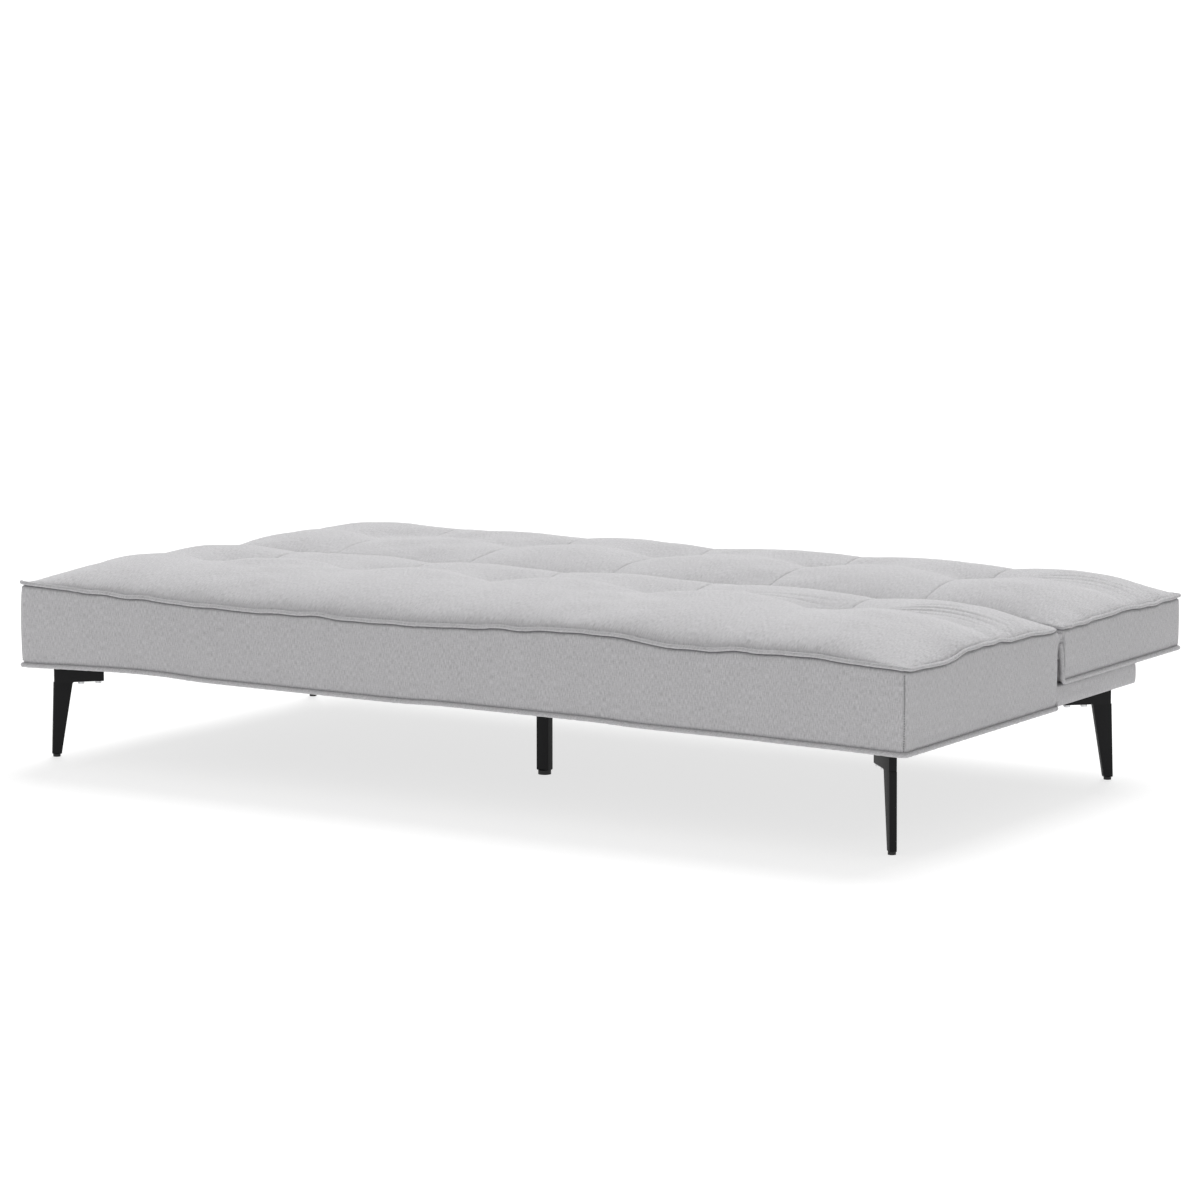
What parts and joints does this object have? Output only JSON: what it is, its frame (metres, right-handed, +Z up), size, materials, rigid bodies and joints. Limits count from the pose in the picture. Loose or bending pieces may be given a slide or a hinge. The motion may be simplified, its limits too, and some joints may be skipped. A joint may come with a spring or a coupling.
{
  "type": "futon sofa bed",
  "caption": "Armless click-clack futon sofa bed shown flat: tufted piped seat and folding backrest mattresses on short black legs.",
  "frame": {"origin": "on the floor under the centre of the flat bed's bounding box", "axes": "+X along the length to the sitter's left as seen facing the bed from the front (the right of the front view), +Y from the seat's front edge to the backrest's rear edge, +Z up"},
  "size_m": [1.88, 1.08, 0.37],
  "materials": {
    "cover_fabric": "light grey plain-weave upholstery cloth, matt",
    "welt_fabric": "the same cloth over a piping cord, matt",
    "lining_fabric": "black non-woven lining, matt",
    "foam": null,
    "felt": "grey needled felt pad, matt",
    "timber": "planed softwood, unfinished",
    "hardboard": "thin hardboard, smooth",
    "webbing": "elastic webbing, matt",
    "tie_cord": "twisted nylon tufting cord",
    "spring_steel": "oiled spring wire",
    "clip_plastic": "moulded spring clip, matt",
    "hinge_steel": "zinc-plated pressed steel",
    "zinc_steel": "bright zinc-plated steel",
    "leg_black": "black powder coat, satin",
    "glide_plastic": "black nylon glide, matt"
  },
  "bodies": {
    "base": {"base_centre_rail_front": "timber", "base_centre_rail_rear": "timber", "base_corner_blocks": "timber", "base_end_rail_left": "timber", "base_end_rail_right": "timber", "base_front_rail": "timber", "base_mid_rail": "timber", "base_rear_rail": "timber", "centre_leg": "leg_black", "dust_cover": "lining_fabric", "glide_centre": "glide_plastic", "glide_front_left": "glide_plastic", "glide_front_right": "glide_plastic", "glide_rear_left": "glide_plastic", "glide_rear_right": "glide_plastic", "hinge_base_bolts": "zinc_steel", "hinge_base_plate_left": "hinge_steel", "hinge_base_plate_right": "hinge_steel", "hinge_pivot_bolt_left": "zinc_steel", "hinge_pivot_bolt_right": "zinc_steel", "junction_gusset": "cover_fabric", "ledge_board": "hardboard", "ledge_cover": "cover_fabric", "leg_front_left": "leg_black", "leg_front_right": "leg_black", "leg_rear_left": "leg_black", "leg_rear_right": "leg_black", "leg_screws": "zinc_steel", "seat_bottom_welt": "welt_fabric", "seat_cover": "cover_fabric", "seat_foam": "foam", "seat_insulator": "felt", "seat_springs": "spring_steel", "seat_top_welt": "welt_fabric", "seat_tuft_ties": "tie_cord", "spring_clips": "clip_plastic"},
    "backrest": {"back_bottom_welt": "welt_fabric", "back_centre_rail": "timber", "back_cover": "cover_fabric", "back_end_rail_left": "timber", "back_end_rail_right": "timber", "back_foam": "foam", "back_front_rail": "timber", "back_rear_rail": "timber", "back_top_welt": "welt_fabric", "back_tuft_ties": "tie_cord", "back_under_panel": "lining_fabric", "back_webbing": "webbing", "hinge_back_bolts": "zinc_steel", "hinge_back_plate_left": "hinge_steel", "hinge_back_plate_right": "hinge_steel", "pawl_pin_left": "zinc_steel", "pawl_pin_right": "zinc_steel"},
    "pawl_left": {"pawl_left": "hinge_steel"},
    "pawl_right": {"pawl_right": "hinge_steel"}
  },
  "joints": [
    {"name": "back_hinge", "type": "hinge", "parent": "base", "child": "backrest", "pos_m": [0, 0.084, 0.308], "axis": [1, 0, 0], "range_deg": [0, 80], "deforming": ["junction_gusset"]},
    {"name": "pawl_left_pivot", "type": "hinge", "parent": "backrest", "child": "pawl_left", "pos_m": [-0.878, 0.11332, 0.29722], "axis": [1, 0, 0], "range_deg": [0, 9]},
    {"name": "pawl_right_pivot", "type": "hinge", "parent": "backrest", "child": "pawl_right", "pos_m": [0.878, 0.11332, 0.29722], "axis": [1, 0, 0], "range_deg": [0, 9]}
  ]
}
